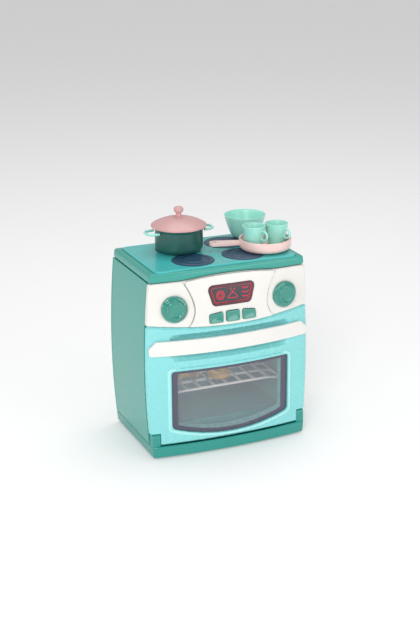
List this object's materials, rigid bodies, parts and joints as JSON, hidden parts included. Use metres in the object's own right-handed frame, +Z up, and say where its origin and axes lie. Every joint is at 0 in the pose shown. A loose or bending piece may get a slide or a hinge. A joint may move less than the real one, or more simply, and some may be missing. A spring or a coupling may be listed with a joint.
{
  "type": "toy oven",
  "caption": "Toy oven with a drop-down windowed door, control panel with knobs and push buttons, rack with toy food, hob plate and loose cookware.",
  "frame": {"origin": "on the floor under the middle of the whole", "axes": "+Z up, front with the door towards -Y, +X to the right seen from the front"},
  "size_m": [0.15, 0.1, 0.2041],
  "materials": {
    "shell_teal": "smooth moulded, satin gloss",
    "plinth_teal": "smooth moulded, satin gloss",
    "door_aqua": "smooth moulded, glossy",
    "hob_aqua": "smooth moulded, glossy",
    "ivory": "smooth moulded, satin gloss",
    "white": "smooth moulded, satin gloss",
    "control_teal": "smooth moulded, glossy",
    "display_red": "polished dark red",
    "display_navy": "polished dark tinted pane",
    "smoked": "clear smoked plastic pane",
    "liner_teal": "fine matt moulded",
    "burner_navy": "matt moulded",
    "pot_green": "smooth moulded, satin gloss",
    "lid_pink": "smooth moulded, satin gloss",
    "pan_pink": "smooth moulded, satin gloss",
    "mint": "smooth moulded, slightly translucent",
    "crust": "moulded crust",
    "board_green": "printed circuit board",
    "rubber_grey": "soft matt rubber",
    "steel": "plain wire steel",
    "lamp_clear": "frosted clear plastic",
    "speaker_black": "matt black"
  },
  "bodies": {
    "shell": {"back_cover": "shell_teal", "base_plinth": "plinth_teal", "battery_cover": "shell_teal", "burner_back_left": "burner_navy", "burner_back_right": "burner_navy", "burner_front_left": "burner_navy", "burner_front_right": "burner_navy", "button_pad": "rubber_grey", "cavity_liner": "liner_teal", "circuit_board": "board_green", "control_fascia": "ivory", "display_frame": "display_red", "display_window": "display_navy", "fascia_centre": "ivory", "foot_1": "rubber_grey", "foot_2": "rubber_grey", "foot_3": "rubber_grey", "foot_4": "rubber_grey", "front_bezel": "shell_teal", "hinge_pin_left": "steel", "hinge_pin_right": "steel", "hob_plate": "hob_aqua", "lamp_lens": "lamp_clear", "oven_rack": "white", "side_panel_left": "shell_teal", "side_panel_right": "shell_teal", "speaker": "speaker_black", "top_deck": "shell_teal"},
    "door": {"door_frame": "door_aqua", "door_window": "smoked", "door_inner_panel": "door_aqua", "door_handle": "white"},
    "knob_left_body": {"knob_left": "control_teal", "knob_axle_left": "white"},
    "knob_right_body": {"knob_right": "control_teal", "knob_axle_right": "white"},
    "button_left_body": {"button_left": "control_teal"},
    "button_middle_body": {"button_middle": "control_teal"},
    "button_right_body": {"button_right": "control_teal"},
    "switch_body": {"power_switch": "speaker_black"},
    "pot_body": {"pot": "pot_green", "pot_ear_left": "mint", "pot_ear_right": "mint"},
    "lid_body": {"pot_lid": "lid_pink"},
    "pan_body": {"frying_pan": "pan_pink"},
    "cup_left_body": {"cup_left": "mint"},
    "cup_right_body": {"cup_right": "mint"},
    "bowl_body": {"bowl": "mint"},
    "roll_body": {"food_roll": "crust"},
    "ring_body": {"food_ring": "crust"}
  },
  "joints": [
    {"name": "door_hinge", "type": "hinge", "parent": "shell", "child": "door", "pos_m": [0, -0.0375, 0.0192], "axis": [1, 0, 0], "range_deg": [0, 90]},
    {"name": "knob_left_turn", "type": "hinge", "parent": "shell", "child": "knob_left_body", "pos_m": [-0.0505, -0.04145, 0.133], "axis": [-0.1304, -0.9899, 0.0558], "continuous": true},
    {"name": "knob_right_turn", "type": "hinge", "parent": "shell", "child": "knob_right_body", "pos_m": [0.0505, -0.04145, 0.133], "axis": [0.1304, -0.9899, 0.0558], "continuous": true},
    {"name": "button_left_press", "type": "slide", "parent": "shell", "child": "button_left_body", "axis": [0, 1, 0], "range_m": [0, 0.0013], "stiffness_N_per_m": 300, "springref_m": -0.0008},
    {"name": "button_middle_press", "type": "slide", "parent": "shell", "child": "button_middle_body", "axis": [0, 1, 0], "range_m": [0, 0.0013], "stiffness_N_per_m": 300, "springref_m": -0.0008},
    {"name": "button_right_press", "type": "slide", "parent": "shell", "child": "button_right_body", "axis": [0, 1, 0], "range_m": [0, 0.0013], "stiffness_N_per_m": 300, "springref_m": -0.0008},
    {"name": "power_switch_slide", "type": "slide", "parent": "shell", "child": "switch_body", "axis": [1, 0, 0], "range_m": [0, 0.004]},
    {"name": "pot_lift", "type": "slide", "parent": "shell", "child": "pot_body", "axis": [0, 0, 1], "range_m": [0, 0.06]},
    {"name": "lid_lift", "type": "slide", "parent": "pot_body", "child": "lid_body", "axis": [0, 0, 1], "range_m": [0, 0.06]},
    {"name": "pan_lift", "type": "slide", "parent": "shell", "child": "pan_body", "axis": [0, 0, 1], "range_m": [0, 0.06]},
    {"name": "cup_left_lift", "type": "slide", "parent": "pan_body", "child": "cup_left_body", "axis": [0, 0, 1], "range_m": [0, 0.06]},
    {"name": "cup_right_lift", "type": "slide", "parent": "pan_body", "child": "cup_right_body", "axis": [0, 0, 1], "range_m": [0, 0.06]},
    {"name": "bowl_lift", "type": "slide", "parent": "shell", "child": "bowl_body", "axis": [0, 0, 1], "range_m": [0, 0.06]},
    {"name": "roll_lift", "type": "slide", "parent": "shell", "child": "roll_body", "axis": [0, 0, 1], "range_m": [0, 0.015]},
    {"name": "ring_lift", "type": "slide", "parent": "shell", "child": "ring_body", "axis": [0, 0, 1], "range_m": [0, 0.015]}
  ]
}
